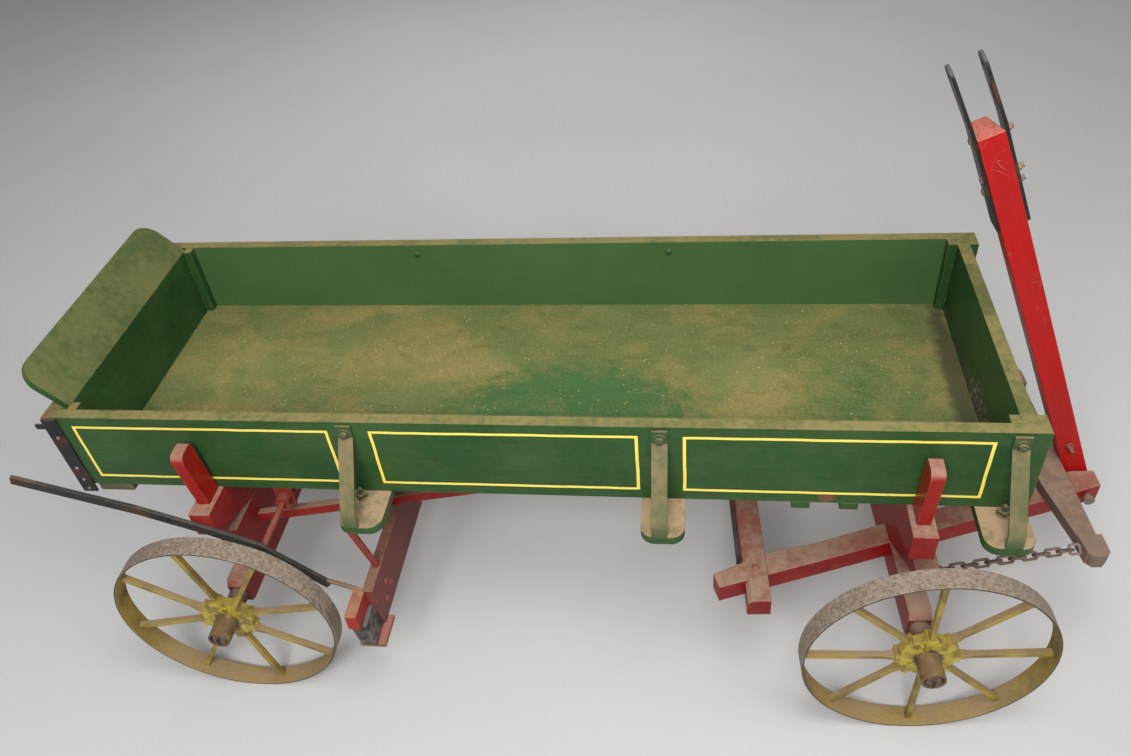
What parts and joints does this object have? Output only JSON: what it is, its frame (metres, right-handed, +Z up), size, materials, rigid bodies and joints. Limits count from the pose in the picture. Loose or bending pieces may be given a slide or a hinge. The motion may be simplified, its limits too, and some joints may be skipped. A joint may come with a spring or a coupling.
{
  "type": "hay wagon",
  "caption": "Small four-wheeled farm wagon with an open green box, red wooden running gear, iron wheels, a raised tongue and a lever brake",
  "frame": {"origin": "centre of the load floor's top face", "axes": "X to the front, Y to the left, Z up"},
  "size_m": [2.1514, 1.0108, 1.1948],
  "materials": {
    "green_paint": "satin",
    "red_paint": "satin",
    "yellow_paint": "satin",
    "green_iron": "satin",
    "red_iron": "satin",
    "black_iron": "matte",
    "rusty_iron": "matte",
    "bare_wood": "matte",
    "faded_red": "matte",
    "rubber": "matte"
  },
  "bodies": {
    "wagon": {"floor_boards": "green_paint", "side_board_left": "green_paint", "side_board_right": "green_paint", "front_board": "green_paint", "rear_board": "green_paint", "flare_board": "green_paint", "front_cleats": "green_paint", "rear_cleats": "green_paint", "cross_sills": "green_paint", "end_sill": "bare_wood", "floor_battens": "green_paint", "braces_left": "green_iron", "braces_right": "green_iron", "end_straps": "black_iron", "rear_bolster": "red_paint", "rear_stakes": "red_paint", "front_bolster": "red_paint", "front_stakes": "red_paint", "rear_axle": "red_paint", "rear_skeins": "black_iron", "rear_hounds": "red_paint", "reach": "red_paint", "kingpin": "black_iron", "brake_rocker": "red_iron", "rocker_hangers": "red_iron", "brake_lever": "black_iron", "brake_link": "rusty_iron", "brake_beam": "faded_red", "brake_shoes": "red_paint", "brake_pads": "rubber", "brake_plates": "bare_wood", "beam_hangers": "red_iron"},
    "front_gear": {"rub_iron": "black_iron", "sand_board": "red_paint", "front_axle": "red_paint", "front_skeins": "black_iron", "front_hounds": "red_paint", "slider_bar": "red_paint", "slider_iron": "black_iron", "evener": "bare_wood", "evener_irons": "rusty_iron", "stay_chains": "rusty_iron", "tongue_pin": "rusty_iron"},
    "tongue": {"tongue_pole": "red_paint", "tongue_straps": "black_iron"},
    "wheel_front_left": {"tyre_front_left": "rusty_iron", "spokes_front_left": "yellow_paint", "hub_front_left": "yellow_paint"},
    "wheel_rear_left": {"tyre_rear_left": "rusty_iron", "spokes_rear_left": "yellow_paint", "hub_rear_left": "yellow_paint"},
    "wheel_front_right": {"tyre_front_right": "rusty_iron", "spokes_front_right": "yellow_paint", "hub_front_right": "yellow_paint"},
    "wheel_rear_right": {"tyre_rear_right": "rusty_iron", "spokes_rear_right": "yellow_paint", "hub_rear_right": "yellow_paint"}
  },
  "joints": [
    {"name": "front_gear_steer", "type": "hinge", "parent": "wagon", "child": "front_gear", "pos_m": [0.7307, 0, -0.17], "axis": [0, 0, 1], "range_deg": [-25.77, 18.23]},
    {"name": "tongue_lift", "type": "hinge", "parent": "front_gear", "child": "tongue", "pos_m": [1.14347, 0.0272, -0.256], "axis": [-0.0658, 0.9978, 0], "range_deg": [0, 124.5]},
    {"name": "front_left_spin", "type": "hinge", "parent": "front_gear", "child": "wheel_front_left", "pos_m": [0.70144, 0.44404, -0.269], "axis": [-0.0658, 0.9978, 0], "continuous": true},
    {"name": "rear_left_spin", "type": "hinge", "parent": "wagon", "child": "wheel_rear_left", "pos_m": [-0.626, 0.434, -0.269], "axis": [0, 1, 0], "continuous": true},
    {"name": "front_right_spin", "type": "hinge", "parent": "front_gear", "child": "wheel_front_right", "pos_m": [0.75996, -0.44404, -0.269], "axis": [-0.0658, 0.9978, 0], "continuous": true},
    {"name": "rear_right_spin", "type": "hinge", "parent": "wagon", "child": "wheel_rear_right", "pos_m": [-0.626, -0.434, -0.269], "axis": [0, 1, 0], "continuous": true}
  ]
}
